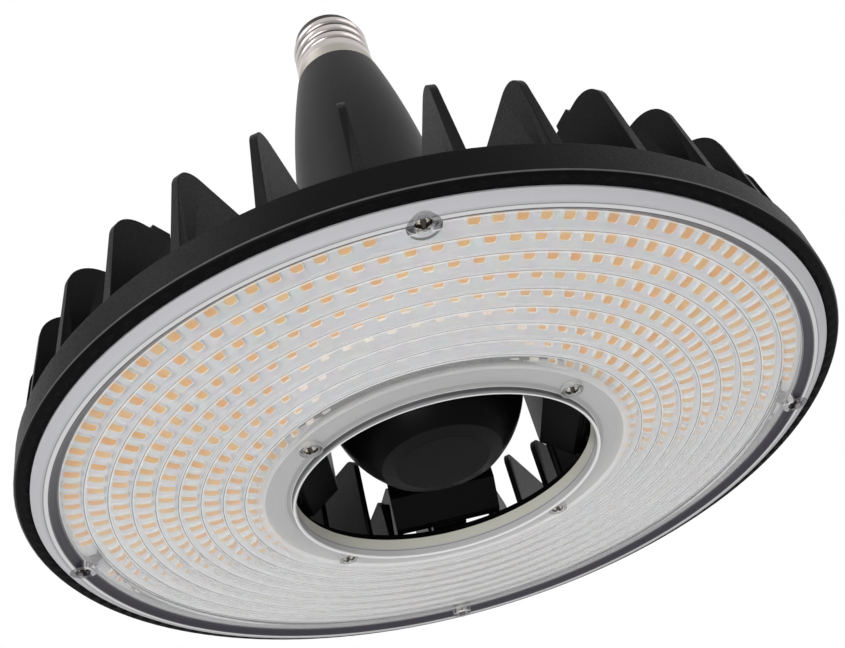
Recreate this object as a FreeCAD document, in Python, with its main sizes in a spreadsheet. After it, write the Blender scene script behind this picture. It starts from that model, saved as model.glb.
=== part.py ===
import FreeCAD, Part
import math
import os
from types import SimpleNamespace
import Sketcher

# LED high bay retrofit lamp. Frame: lamp axis on Z, screw cap up, lens facing down.
# Z = 0 is the front face of the lens, on which the lamp can stand. Azimuths are measured from +X.
# All lengths in millimetres, all angles in degrees.
SIZES = [
    # heat sink: cast ring
    ("rim_radius", 140.0, "outer radius of the cast ring"),
    ("rim_wall", 4.2, "width of the rim's front face"),
    ("rim_lip", 1.4, "height of the rim's lip above the ring's floor"),
    ("rim_front", 2.0, "height of the rim's front face above the lens face"),
    ("rim_bevel", 0.8, "bevel round the rim's front edge"),
    ("ledge_height", 4.7, "height of the ledges that the lens is screwed to"),
    ("ledge_width_in", 8.5, "width of the inner ledge"),
    ("ledge_width_out", 8.4, "width of the outer ledge"),
    ("floor_under", 7.6, "height of the face that the circuit board lies on"),
    ("floor_thickness", 3.0, "thickness of the ring's floor"),
    # heat sink: fins
    ("fin_count", 36, "number of fins"),
    ("fin_top", 48.0, "height of the fins' top edge"),
    ("fin_thickness", 2.5, "thickness of a fin"),
    ("fin_draft", 2.0, "how far a fin's outer edge leans in"),
    ("fin_corner", 10.0, "radius of a fin's top outer corner"),
    ("fin_corner_in", 6.0, "radius of a fin's top inner corner"),
    ("fin_setback", 24.8, "distance from the centre opening to a plain fin"),
    ("long_fin_setback", 2.2, "distance from the centre opening to one of the four long fins"),
    ("mid_fin_setback", 15.3, "distance from the centre opening to a fin beside an inner screw"),
    ("web_setback", 2.8, "distance from the centre opening to one of the four low webs"),
    ("web_top", 28.0, "height of a low web's inner end"),
    ("web_top_out", 22.0, "height of a low web's outer end"),
    ("lug_inset", 18.5, "distance from the rim to the lugs on six fins"),
    ("lug_width", 7.0, "width of a lug"),
    ("lug_height", 2.0, "height of a lug above its fin"),
    # lens
    ("lens_bore", 54.2, "radius of the lens's centre opening"),
    ("lens_thickness", 1.7, "thickness of the lens under its ridges"),
    ("lens_edge", 2.7, "width of the lens's bevelled outer edge"),
    ("bore_bevel", 0.5, "bevel round the front of the lens's centre opening"),
    ("lens_tube_wall", 1.3, "wall of the tube that lines the centre opening"),
    ("lens_gap", 0.3, "clearance round the lens"),
    ("ridge_depth", 0.35, "depth of the grooves between the ridges"),
    ("ridge_groove", 1.0, "width of a groove between two ridges"),
    # light source
    ("row_count", 9, "number of rings of LEDs"),
    ("row_inset_out", 15.7, "distance from the rim to the outer ring of LEDs"),
    ("row_inset_in", 13.4, "distance from the centre opening to the inner ring of LEDs"),
    ("led_step_out", 6.2, "aimed distance between two LEDs of the outer ring"),
    ("led_step", 6.8, "aimed distance between two LEDs of the other rings"),
    ("led_break", 6.0, "angle left free of LEDs on each side of an outer screw"),
    ("led_width", 2.8, "width of an LED package, along the ring's radius"),
    ("led_length", 3.5, "length of an LED package, along the ring"),
    ("led_height", 0.7, "height of an LED package"),
    ("board_thickness", 1.6, "thickness of the circuit board"),
    ("board_gap", 0.3, "clearance round the circuit board"),
    # gaskets
    ("gasket_thickness", 1.0, "thickness of both gaskets"),
    ("gasket_width_out", 3.4, "width of the outer gasket"),
    ("gasket_width_in", 1.2, "width of the inner gasket"),
    # screws
    ("screw_radius", 2.0, "radius of a lens screw's shank"),
    ("screw_gap", 0.1, "clearance round a screw in its hole"),
    ("screw_head", 3.6, "radius of a lens screw's head"),
    ("screw_head_height", 2.0, "height of a lens screw's head"),
    ("screw_recess", 2.2, "depth of the recess for a lens screw's head"),
    ("screw_length", 6.5, "length of a lens screw's shank"),
    ("screw_inset_out", 10.6, "distance from the rim to the outer lens screws"),
    ("screw_inset_in", 5.6, "distance from the centre opening to the inner lens screws"),
    ("screw_boss", 4.6, "radius of the bosses round the outer lens screws"),
    ("arm_azimuth", 5.0, "azimuth of the first arm and of the first outer screw"),
    ("inner_azimuth", 50.0, "azimuth of the first inner screw"),
    # driver housing
    ("seam_height", 48.0, "height of the joint between housing and bottom cover"),
    ("seam_radius", 38.4, "outer radius at that joint"),
    ("shoulder_height", 158.0, "height at which the housing starts to close in"),
    ("shoulder_radius", 32.5, "outer radius there"),
    ("neck_height", 234.3, "height of the neck's top"),
    ("neck_radius", 21.8, "outer radius of the neck's top"),
    ("body_curve", 1500.0, "radius of the housing's lower profile"),
    ("neck_curve", 590.0, "radius of the housing's upper profile"),
    ("wall", 2.6, "wall of the housing and of the bottom cover"),
    ("spigot_gap", 0.3, "clearance round the spigot inside the screw cap"),
    ("spigot_height", 22.0, "height of that spigot"),
    ("spigot_wall", 3.0, "wall of that spigot"),
    # arms
    ("arm_half_width", 21.5, "half width of an arm"),
    ("arm_gap", 0.4, "clearance between an arm's outer face and the heat sink"),
    ("arm_depth", 15.2, "depth of an arm from its outer to its inner face"),
    ("arm_under", 20.8, "height of an arm's lower edge at its inner face"),
    ("arm_slot", 1.5, "gap under an arm's outer face"),
    ("arm_shoulder", 52.0, "height at which an arm starts to lean in"),
    ("arm_top", 88.0, "height at which an arm meets the housing"),
    ("foot_half_width", 7.0, "half width of an arm's foot"),
    ("foot_length", 19.1, "how far a foot stands out from its arm"),
    ("foot_height", 7.0, "height of a foot"),
    ("foot_screw_reach", 11.6, "distance from an arm's outer face to its foot's screw"),
    ("foot_screw_radius", 2.5, "radius of a foot screw's shank"),
    ("foot_screw_head", 4.4, "radius of a foot screw's head"),
    ("foot_screw_height", 3.0, "height of a foot screw's head"),
    # bottom cover
    ("cover_bottom", 9.6, "height of the bottom cover's flat face"),
    ("cover_flat", 17.2, "radius of that face"),
    ("cover_band", 22.4, "outer radius of the plain band round that face"),
    ("cover_band_rise", 1.4, "rise of the band"),
    ("cover_curve", 45.35, "radius of the cover's curved side"),
    ("cover_lip", 4.0, "height of the lip that plugs into the housing"),
    ("cover_gap", 0.15, "clearance round that lip"),
    # screw cap, E40
    ("cap_crest", 19.6, "radius of the thread's crests"),
    ("cap_root", 17.9, "radius of the thread's roots"),
    ("cap_pitch", 6.35, "pitch of the thread"),
    ("cap_turns", 3.25, "turns of thread"),
    ("cap_sheet", 0.7, "sheet thickness of the screw cap"),
    ("skirt_height", 15.7, "height of the plain skirt below the thread"),
    ("skirt_radius", 19.8, "outer radius of that skirt"),
    ("skirt_flare", 20.4, "radius of the skirt's lower edge"),
    ("cap_length", 38.0, "height of the metal screw cap"),
    ("glass_height", 7.0, "height of the black glass insulator"),
    ("glass_top", 10.0, "radius of the insulator's top"),
    ("contact_radius", 7.5, "radius of the centre contact"),
    ("contact_height", 3.0, "height of the centre contact"),
    # driver electronics
    ("core_width", 30.0, "width of the transformer"),
    ("core_depth", 14.0, "depth of the transformer"),
    ("core_height", 28.0, "height of the transformer"),
    ("can_radius", 6.5, "radius of a driver capacitor"),
    ("can_height", 25.0, "height of a driver capacitor"),
    ("coil_radius", 9.0, "radius of the mains choke"),
    ("coil_height", 14.0, "depth of the mains choke"),
]
QUARTERS = 4        # arms, and lens screws on each circle

doc = FreeCAD.newDocument("high_bay_lamp")
sheet = doc.addObject("Spreadsheet::Sheet", "Sizes")
for row, (name, value, meaning) in enumerate(SIZES, start=1):
    sheet.set("A%d" % row, name)
    sheet.set("B%d" % row, str(value))
    sheet.set("C%d" % row, meaning)
    sheet.setAlias("B%d" % row, name)
doc.recompute()


class Size:
    """A size worked out from spreadsheet cells: its present value and the expression that gives it."""

    def __init__(self, value, text):
        self.value, self.text = value, text

    def joined(self, sign, other, value):
        return Size(value, "(%s %s %s)" % (self.text, sign, sized(other).text))

    def __add__(self, other):
        return self.joined("+", other, self.value + sized(other).value)

    def __sub__(self, other):
        return self.joined("-", other, self.value - sized(other).value)

    def __mul__(self, other):
        return self.joined("*", other, self.value * sized(other).value)

    def __truediv__(self, other):
        return self.joined("/", other, self.value / sized(other).value)

    def __neg__(self):
        return Size(-self.value, "(0 - %s)" % self.text)

    def rounded(self):
        return Size(math.floor(self.value + 0.5), "round(%s)" % self.text)


def sized(value):
    """The value as a Size, whether it is one already or a plain number."""
    return value if isinstance(value, Size) else Size(float(value), "%g" % value)


def bind(thing, prop, size):
    """Drive a property, or a constraint, by a size."""
    thing.setExpression(prop, sized(size).text)


S = SimpleNamespace(**{name: Size(float(value), "Sizes." + name) for name, value, meaning in SIZES})
UP = FreeCAD.Vector(0, 0, 1)
parts = []


def part(label, azimuth=None):
    """A new body with its own label, turned about the lamp's axis to an azimuth."""
    body = doc.addObject("PartDesign::Body", label)
    body.Label = label
    body.AllowCompound = True
    if azimuth is not None:
        body.Placement = FreeCAD.Placement(FreeCAD.Vector(), FreeCAD.Rotation(UP, azimuth.value))
        bind(body, "Placement.Rotation.Angle", azimuth)
    parts.append(body)
    return body


def origin(body, role):
    """One of the body's origin planes or axes."""
    return next(f for f in body.Origin.OriginFeatures if f.Role == role)


def sketch(body, name, plane, height=None, azimuth=None):
    """A sketch on an origin plane, lifted to a height or turned to an azimuth."""
    sk = body.newObject("Sketcher::SketchObject", name)
    sk.AttachmentSupport = (origin(body, plane + "_Plane"), [""])
    sk.MapMode = "FlatFace"
    axis = FreeCAD.Vector(0, 1, 0) if plane == "XZ" else UP
    if azimuth is not None:
        sk.AttachmentOffset = FreeCAD.Placement(FreeCAD.Vector(), FreeCAD.Rotation(axis, azimuth.value))
        bind(sk, "AttachmentOffset.Rotation.Angle", azimuth)
    if height is not None:
        bind(sk, "AttachmentOffset.Base.z", height)
    return sk


def pin(sk, geo, point, x, y):
    """Hold one point of a sketch at two sizes from the sketch's origin."""
    for kind, size in (("DistanceX", sized(x)), ("DistanceY", sized(y))):
        n = sk.addConstraint(Sketcher.Constraint(kind, -1, 1, geo, point, size.value))
        bind(sk, "Constraints[%d]" % n, size)


def radius_of(sk, geo, radius):
    n = sk.addConstraint(Sketcher.Constraint("Radius", geo, sized(radius).value))
    bind(sk, "Constraints[%d]" % n, radius)


def outline(sk, corners):
    """Draw a closed outline with every corner held by its sizes.

    A corner is (x, y), or (x, y, radius, side) where an arc leads on to the next corner: the arc
    bulges to the right of the way there for side 1, to the left for side -1.
    """
    first = sk.GeometryCount
    spots = [FreeCAD.Vector(sized(c[0]).value, sized(c[1]).value, 0) for c in corners]
    starts = []
    for i, corner in enumerate(corners):
        a, b = spots[i], spots[(i + 1) % len(spots)]
        if len(corner) == 2:
            sk.addGeometry(Part.LineSegment(a, b))
        else:
            way, radius = b - a, sized(corner[2]).value
            right = FreeCAD.Vector(way.y, -way.x, 0).normalize() * corner[3]
            sag = radius - math.sqrt(radius ** 2 - (way.Length / 2) ** 2)
            sk.addGeometry(Part.Arc(a, (a + b) * 0.5 + right * sag, b))
        # an arc is always stored anticlockwise, so its first point may be the outline's second
        starts.append(1 if (sk.getPoint(first + i, 1) - a).Length < 1e-6 else 2)
    for i, corner in enumerate(corners):
        after = (i + 1) % len(corners)
        sk.addConstraint(Sketcher.Constraint("Coincident", first + i, 3 - starts[i], first + after, starts[after]))
        pin(sk, first + i, starts[i], corner[0], corner[1])
        if len(corner) > 2:
            radius_of(sk, first + i, corner[2])
    return sk


def circle(sk, x, y, radius):
    """Draw a circle held by its centre and radius."""
    geo = sk.addGeometry(Part.Circle(FreeCAD.Vector(sized(x).value, sized(y).value, 0), UP, sized(radius).value))
    pin(sk, geo, 3, x, y)
    radius_of(sk, geo, radius)
    return sk


def turn(body, name, corners, kind="Revolution", centre=None):
    """Turn an outline about the lamp's axis, or about an upright line through the centre given."""
    sk = outline(sketch(body, name + "_profile", "XZ"), corners)
    axis = (origin(body, "Z_Axis"), [""])
    if centre is not None:
        geo = sk.addGeometry(Part.LineSegment(FreeCAD.Vector(centre.value, 0, 0),
                                              FreeCAD.Vector(centre.value, 10, 0)), True)
        pin(sk, geo, 1, centre, 0)
        pin(sk, geo, 2, centre, 10)
        axis = (sk, ["Axis0"])
    feature = body.newObject("PartDesign::" + kind, name)
    feature.Profile = sk
    feature.ReferenceAxis = axis
    feature.Angle = 360
    doc.recompute()
    return feature


def extrude(body, name, sk, length, kind="Pad", both=False, back=False):
    """Pad or pocket a sketch by a length, one way or evenly both ways."""
    feature = body.newObject("PartDesign::" + kind, name)
    feature.Profile = sk
    bind(feature, "Length", length)
    if both:
        feature.SideType = "Symmetric"
    feature.Reversed = back
    doc.recompute()
    return feature


def around(body, name, features, count):
    """Repeat features evenly round the lamp's axis."""
    pattern = body.newObject("PartDesign::PolarPattern", name)
    pattern.Originals = features
    pattern.Axis = (origin(body, "Z_Axis"), [""])
    pattern.Angle = 360
    bind(pattern, "Occurrences", count)
    body.Tip = pattern
    doc.recompute()
    return pattern


def ring(label, inner, outer, low, high):
    """A flat ring between two radii and two heights."""
    body = part(label)
    turn(body, label + "_ring", [(inner, low), (outer, low), (outer, high), (inner, high)])
    return body


# Radii and heights that several parts share.
RIM_IN = S.rim_radius - S.rim_wall                      # wall round the lens
LENS_OUT = RIM_IN - S.lens_gap                          # lens edge
TUBE_OUT = S.lens_bore + S.lens_tube_wall               # tube of the lens, in the bore
BORE = TUBE_OUT + S.lens_gap                            # centre opening of the heat sink
LEDGE_IN = BORE + S.ledge_width_in                      # edge of the inner ledge
LEDGE_OUT = RIM_IN - S.ledge_width_out                  # edge of the outer ledge
FLOOR = S.floor_under + S.floor_thickness               # top of the ring's floor
FLANGE = S.ledge_height - S.gasket_thickness            # back of the lens's screwed flanges
HEAD_SEAT = S.screw_recess                              # seat of a lens screw's head
HOLE = S.screw_radius + S.screw_gap
HEAD_HOLE = S.screw_head + S.lens_gap
BOARD_UNDER = S.floor_under - S.board_thickness
CAP_TOP = S.neck_height + S.cap_length
SPIGOT = S.cap_root - S.cap_sheet - S.spigot_gap        # spigot inside the screw cap
FIN_IN = S.lens_bore + S.fin_setback                    # inner edge of the plain fins
WEB_IN = S.lens_bore + S.web_setback                    # inner edge of the low webs
LUG = S.rim_radius - S.lug_inset
SCREWS_OUT = S.rim_radius - S.screw_inset_out           # circles of lens screws
SCREWS_IN = S.lens_bore + S.screw_inset_in
ROW = S.rim_radius - S.row_inset_out                    # outer ring of LEDs
ROW_PITCH = (ROW - S.lens_bore - S.row_inset_in) / (S.row_count - 1)
ARM_OUT = BORE - S.arm_gap                              # outer face of the arms
ARM_IN = ARM_OUT - S.arm_depth
FOOT_OUT = ARM_OUT + S.foot_length
FOOT_SCREW = ARM_OUT + S.foot_screw_reach


def heat_sink():
    body = part("heat_sink")
    turn(body, "ring", [
        (BORE, S.ledge_height), (LEDGE_IN, S.ledge_height), (LEDGE_IN, S.floor_under),
        (LEDGE_OUT, S.floor_under), (LEDGE_OUT, S.ledge_height), (RIM_IN, S.ledge_height),
        (RIM_IN, S.rim_front), (S.rim_radius - S.rim_bevel, S.rim_front), (S.rim_radius, S.rim_front + S.rim_bevel),
        (S.rim_radius, FLOOR + S.rim_lip), (S.rim_radius - S.rim_wall, FLOOR + S.rim_lip),
        (S.rim_radius - S.rim_wall - S.rim_lip, FLOOR), (BORE, FLOOR)])
    edge = S.rim_radius - S.rim_bevel
    foot = FLOOR - S.rim_bevel

    def fin(name, inner, outer, azimuth, count):
        """A set of radial fins with rounded top corners; those that only reach inwards stay square outside."""
        corners = [(inner, foot), (outer, foot)]
        if outer is edge:
            corners += [(outer - S.fin_draft, S.fin_top - S.fin_corner, S.fin_corner, 1),
                        (outer - S.fin_draft - S.fin_corner, S.fin_top)]
        else:
            corners += [(outer, S.fin_top)]
        corners += [(inner + S.fin_corner_in, S.fin_top, S.fin_corner_in, 1),
                    (inner, S.fin_top - S.fin_corner_in)]
        sk = outline(sketch(body, name + "_outline", "XZ", azimuth=azimuth), corners)
        around(body, name + "_set", [extrude(body, name, sk, S.fin_thickness, both=True)], count)

    fin("fin", FIN_IN, edge, None, S.fin_count)
    step = sized(360) / S.fin_count
    joint = FIN_IN + S.fin_corner_in * 2
    fin("long_fin", S.lens_bore + S.long_fin_setback, joint, S.arm_azimuth + step * 3.5, QUARTERS)
    fin("mid_fin", S.lens_bore + S.mid_fin_setback, joint, S.arm_azimuth + step * 4.5, QUARTERS)

    sk = outline(sketch(body, "web_outline", "XZ", azimuth=S.arm_azimuth + step * 2.5), [
        (WEB_IN, foot), (joint, foot), (joint, S.web_top_out),
        (WEB_IN + 3, S.web_top), (WEB_IN, S.web_top - 3)])
    around(body, "web_set", [extrude(body, "web", sk, S.fin_thickness, both=True)], QUARTERS)

    sk = outline(sketch(body, "lug_outline", "XZ"), [
        (LUG - S.lug_width / 2, S.fin_top - 1), (LUG + S.lug_width / 2, S.fin_top - 1),
        (LUG + S.lug_width / 2 - S.lug_height / 2, S.fin_top + S.lug_height),
        (LUG - S.lug_width / 2, S.fin_top + S.lug_height)])
    around(body, "lug_set", [extrude(body, "lug", sk, S.fin_thickness, both=True)], 6)

    sk = circle(sketch(body, "boss_outline", "XY", S.ledge_height, S.arm_azimuth), SCREWS_OUT, 0, S.screw_boss)
    around(body, "boss_set", [extrude(body, "boss", sk, S.floor_thickness + S.floor_under - S.ledge_height)], QUARTERS)
    for name, azimuth, radius in (("outer", S.arm_azimuth, SCREWS_OUT),
                                  ("inner", S.inner_azimuth, SCREWS_IN)):
        sk = circle(sketch(body, name + "_hole_outline", "XY", S.ledge_height, azimuth), radius, 0, HOLE)
        hole = extrude(body, name + "_hole", sk, HEAD_SEAT + S.screw_length + 0.4 - S.ledge_height, "Pocket", back=True)
        around(body, name + "_holes", [hole], QUARTERS)
    sk = circle(sketch(body, "foot_hole_outline", "XY", FLOOR, S.arm_azimuth),
                FOOT_SCREW, 0, S.foot_screw_radius + S.screw_gap)
    around(body, "foot_holes", [extrude(body, "foot_hole", sk, S.floor_thickness - 0.3, "Pocket")], QUARTERS)


def lens():
    body = part("lens", S.arm_azimuth)
    back = S.lens_thickness
    face = []
    # a flat ridge under each ring of LEDs, with a groove on each side
    for k in reversed(range(int(S.row_count.value) + 1)):
        groove = ROW + ROW_PITCH / 2 - ROW_PITCH * k
        face += [(groove - S.ridge_groove / 2, 0), (groove, S.ridge_depth),
                 (groove + S.ridge_groove / 2, 0)]
    turn(body, "shell", [(S.lens_bore, S.bore_bevel), (S.lens_bore + S.bore_bevel, 0)] + face + [
        (LENS_OUT - S.lens_edge, 0), (LENS_OUT, S.lens_thickness), (LENS_OUT, FLANGE),
        (LEDGE_OUT, FLANGE), (LEDGE_OUT, back), (LEDGE_IN, back), (LEDGE_IN, FLANGE),
        (TUBE_OUT, FLANGE), (TUBE_OUT, S.floor_under), (S.lens_bore, S.floor_under)])
    sk = circle(sketch(body, "boss_outline", "XY"), SCREWS_OUT, 0, S.screw_boss + S.lens_gap)
    around(body, "boss_set", [extrude(body, "boss", sk, FLANGE)], QUARTERS)
    for name, azimuth, radius in (("outer", None, SCREWS_OUT),
                                  ("inner", S.inner_azimuth - S.arm_azimuth, SCREWS_IN)):
        sk = circle(sketch(body, name + "_hole_outline", "XY", None, azimuth), radius, 0, HOLE)
        through = extrude(body, name + "_hole", sk, FLANGE + 1, "Pocket", back=True)
        sk = circle(sketch(body, name + "_recess_outline", "XY", None, azimuth), radius, 0, HEAD_HOLE)
        recess = extrude(body, name + "_recess", sk, S.screw_recess, "Pocket", back=True)
        around(body, name + "_holes", [through, recess], QUARTERS)


def screws(label, azimuth, distance, seat, radius, head, head_height, length, up):
    """Four pan head screws on a circle; up is 1 where the head lies above its seat, -1 where below."""
    body = part(label, azimuth)
    corners = [(distance, seat - length * up), (distance + radius, seat - length * up), (distance + radius, seat),
               (distance + head, seat), (distance + head, seat + head_height * (0.4 * up)),
               (distance + head * 0.7, seat + head_height * up), (distance, seat + head_height * up)]
    screw = turn(body, label + "_screw", corners, centre=distance)
    around(body, label + "_set", [screw], QUARTERS)


def light_source():
    body = part("led_board", S.arm_azimuth)
    turn(body, "board", [(LEDGE_IN + S.board_gap, BOARD_UNDER), (LEDGE_OUT - S.board_gap, BOARD_UNDER),
                         (LEDGE_OUT - S.board_gap, S.floor_under), (LEDGE_IN + S.board_gap, S.floor_under)])
    sk = circle(sketch(body, "notch_outline", "XY", BOARD_UNDER), SCREWS_OUT, 0, S.screw_boss + S.board_gap)
    around(body, "notches", [extrude(body, "notch", sk, S.board_thickness, "Pocket", back=True)], QUARTERS)
    half, long = S.led_width / 2, S.led_length / 2
    for k in range(int(S.row_count.value)):
        label, radius = "led_ring_%d" % (k + 1), ROW - ROW_PITCH * k
        body = part(label, S.arm_azimuth + S.led_break if k == 0 else None)
        sk = outline(sketch(body, label + "_outline", "XY", BOARD_UNDER - S.led_height),
                     [(radius - half, -long), (radius + half, -long), (radius + half, long), (radius - half, long)])
        led = extrude(body, label + "_led", sk, S.led_height)
        if k:
            around(body, label + "_set", [led], (radius * (2 * math.pi) / S.led_step).rounded())
            continue
        # the outer ring is broken at the four outer screws
        arc = sized(360 / QUARTERS) - S.led_break * 2
        both = body.newObject("PartDesign::MultiTransform", label + "_set")
        both.Originals = [led]
        steps = []
        for name, angle, count in (("arc", arc, (radius * arc * (math.pi / 180) / S.led_step_out).rounded() + 1),
                                   ("quarters", sized(360), sized(QUARTERS))):
            pattern = body.newObject("PartDesign::PolarPattern", label + "_" + name)
            pattern.Axis = (origin(body, "Z_Axis"), [""])
            bind(pattern, "Angle", angle)
            bind(pattern, "Occurrences", count)
            steps.append(pattern)
        both.Transformations = steps
        body.Tip = both
        doc.recompute()


def driver_housing():
    body = part("driver_housing", S.arm_azimuth)
    top = S.neck_height + S.spigot_height
    turn(body, "shell", [(0, S.seam_height), (S.seam_radius, S.seam_height, S.body_curve, 1),
                         (S.shoulder_radius, S.shoulder_height, S.neck_curve, 1), (S.neck_radius, S.neck_height),
                         (SPIGOT, S.neck_height), (SPIGOT, top), (0, top)])
    root = S.seam_radius - S.wall * 3
    sk = outline(sketch(body, "arm_outline", "XZ"), [
        (ARM_IN, S.arm_under), (ARM_OUT - S.arm_slot * 3, FLOOR + S.arm_slot),
        (ARM_OUT, FLOOR + S.arm_slot), (ARM_OUT, S.arm_shoulder), (S.seam_radius - 1, S.arm_top),
        (root, S.arm_top), (root, S.seam_height), (ARM_IN, S.seam_height)])
    arm = extrude(body, "arm", sk, S.arm_half_width * 2, both=True)
    web = FLOOR + S.foot_height
    sk = outline(sketch(body, "foot_outline", "XZ"), [
        (ARM_OUT - S.wall, FLOOR), (FOOT_OUT, FLOOR), (FOOT_OUT, web),
        (ARM_OUT + S.wall, web), (ARM_OUT, web + S.foot_height), (ARM_OUT - S.wall, web + S.foot_height)])
    foot = extrude(body, "foot", sk, S.foot_half_width * 2, both=True)
    sk = circle(sketch(body, "foot_hole_outline", "XY", web), FOOT_SCREW, 0, S.foot_screw_radius + S.screw_gap)
    hole = extrude(body, "foot_hole", sk, S.foot_height + 1, "Pocket")
    around(body, "arms", [arm, foot, hole], QUARTERS)
    turn(body, "cavity", [
        (0, S.seam_height - 1), (S.seam_radius - S.wall, S.seam_height - 1), (S.seam_radius - S.wall, S.seam_height,
                                                                             S.body_curve, 1),
        (S.shoulder_radius - S.wall, S.shoulder_height, S.neck_curve, 1),
        (S.neck_radius - S.wall, S.neck_height - S.wall), (SPIGOT - S.spigot_wall, S.neck_height - S.wall),
        (SPIGOT - S.spigot_wall, top + 1), (0, top + 1)], "Groove")


def bottom_cover():
    body = part("bottom_cover")
    lip = S.seam_radius - S.wall - S.cover_gap
    lip_top = S.seam_height + S.cover_lip
    band = S.cover_bottom + S.cover_band_rise
    turn(body, "cover", [
        (0, S.cover_bottom), (S.cover_flat, S.cover_bottom), (S.cover_band, band, S.cover_curve, 1),
        (S.seam_radius, S.seam_height), (lip, S.seam_height), (lip, lip_top), (lip - S.wall / 2, lip_top),
        (lip - S.wall / 2, S.seam_height, S.cover_curve, -1), (S.cover_band - S.wall / 2, band + S.wall),
        (0, S.cover_bottom + S.wall)])


def screw_cap():
    body = part("screw_cap")
    inside = S.cap_root - S.cap_sheet
    skirt = S.neck_height + S.skirt_height
    shoulder = S.cap_crest - S.cap_root
    turn(body, "sheet", [
        (S.skirt_flare, S.neck_height), (S.skirt_radius, S.neck_height + 3), (S.skirt_radius, skirt - shoulder),
        (S.cap_root, skirt), (S.cap_root, CAP_TOP), (inside, CAP_TOP), (inside, skirt - S.cap_sheet),
        (S.skirt_radius - S.cap_sheet, skirt - shoulder - S.cap_sheet),
        (S.skirt_radius - S.cap_sheet, S.neck_height + 3), (S.skirt_flare - S.cap_sheet, S.neck_height)])
    # rolled thread: a round ridge on the sheet, a little narrower than the pitch
    half = S.cap_pitch * 0.44
    depth = shoulder + S.cap_sheet / 2
    curve = (half * half + depth * depth) / (depth * 2)
    low = skirt + S.cap_pitch / 2 - S.cap_pitch * 0.75 - half
    sk = outline(sketch(body, "ridge_profile", "XZ"), [
        (S.cap_root - S.cap_sheet / 2, low, curve, 1), (S.cap_root - S.cap_sheet / 2, low + half * 2)])
    ridge = body.newObject("PartDesign::AdditiveHelix", "ridge")
    ridge.Profile = sk
    ridge.ReferenceAxis = (origin(body, "Z_Axis"), [""])
    ridge.Mode = "pitch-turns-angle"
    bind(ridge, "Pitch", S.cap_pitch)
    bind(ridge, "Turns", S.cap_turns)
    ridge.LeftHanded = False
    doc.recompute()

    body = part("cap_glass")
    turn(body, "glass", [(0, CAP_TOP - 3), (inside, CAP_TOP - 3), (inside, CAP_TOP), (S.cap_root, CAP_TOP),
                         (S.cap_root - S.cap_sheet * 2, CAP_TOP + S.glass_height * 0.35),
                         (S.glass_top, CAP_TOP + S.glass_height), (0, CAP_TOP + S.glass_height)])
    body = part("centre_contact")
    seat = CAP_TOP + S.glass_height
    turn(body, "contact", [(0, seat), (S.contact_radius, seat), (S.contact_radius, seat + S.contact_height / 2),
                           (S.contact_radius * 0.6, seat + S.contact_height), (0, seat + S.contact_height)])


def driver():
    foot = S.seam_height + S.cover_lip
    clear = S.wall + S.lens_gap
    body = part("driver_board")
    sk = outline(sketch(body, "board_outline", "XZ"), [
        (S.seam_radius - clear - 0.2, foot), (S.shoulder_radius - clear, S.shoulder_height),
        (clear - S.shoulder_radius, S.shoulder_height), (clear + 0.2 - S.seam_radius, foot)])
    extrude(body, "board", sk, S.board_thickness, both=True)
    near = S.board_thickness / 2

    def solid(kind, label, sizes, x, y, z):
        """A plain solid that stands on the driver board."""
        made = doc.addObject("Part::" + kind, label)
        made.Label = label
        for prop, size in sizes:
            bind(made, prop, size)
        for prop, size in (("x", x), ("y", y), ("z", z)):
            bind(made, "Placement.Base." + prop, size)
        return made

    parts.append(solid("Box", "transformer", [("Length", S.core_width), ("Width", S.core_depth),
                                              ("Height", S.core_height)],
                       -(S.core_width / 2), near, foot + S.core_height / 2))
    cans = [solid("Cylinder", "can_%d" % k, [("Radius", S.can_radius), ("Height", S.can_height)],
                  S.can_radius * (2.3 * k), -(near + S.can_radius), foot + S.core_height / 2) for k in (-1, 0, 1)]
    group = doc.addObject("Part::Compound", "driver_capacitors")
    group.Label = "driver_capacitors"
    group.Links = cans
    parts.append(group)
    choke = solid("Cylinder", "mains_choke", [("Radius", S.coil_radius), ("Height", S.coil_height)],
                  0, near, S.shoulder_height - S.coil_radius * 2)
    choke.Placement = FreeCAD.Placement(choke.Placement.Base, FreeCAD.Rotation(FreeCAD.Vector(1, 0, 0), -90))
    parts.append(choke)


screw_cap()
driver_housing()
bottom_cover()
driver()
heat_sink()
screws("arm_screws", S.arm_azimuth, FOOT_SCREW, FLOOR + S.foot_height, S.foot_screw_radius, S.foot_screw_head,
       S.foot_screw_height, S.foot_height + S.floor_thickness - 0.6, 1)
light_source()
lens()
ring("outer_gasket", LENS_OUT - 0.2 - S.gasket_width_out, LENS_OUT - 0.2, FLANGE, S.ledge_height)
ring("inner_gasket", BORE + S.lens_gap, BORE + S.lens_gap + S.gasket_width_in, FLANGE, S.ledge_height)
for label, azimuth, distance in (("outer_lens_screws", S.arm_azimuth, SCREWS_OUT),
                                 ("inner_lens_screws", S.inner_azimuth, SCREWS_IN)):
    screws(label, azimuth, distance, HEAD_SEAT, S.screw_radius, S.screw_head, S.screw_head_height,
           S.screw_length, -1)
doc.recompute()

for obj in doc.Objects:
    if "Invalid" in obj.State or "Error" in obj.State:
        raise RuntimeError("%s did not build" % obj.Label)
os.makedirs("parts", exist_ok=True)
for obj in parts:
    shape = obj.Shape
    if shape.isNull() or not shape.isValid():
        raise RuntimeError("%s has no valid shape" % obj.Label)
    shape.exportStep("parts/%s.step" % obj.Label)
    print("%-20s %4d solids %10.0f mm3" % (obj.Label, len(shape.Solids), shape.Volume))
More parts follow.
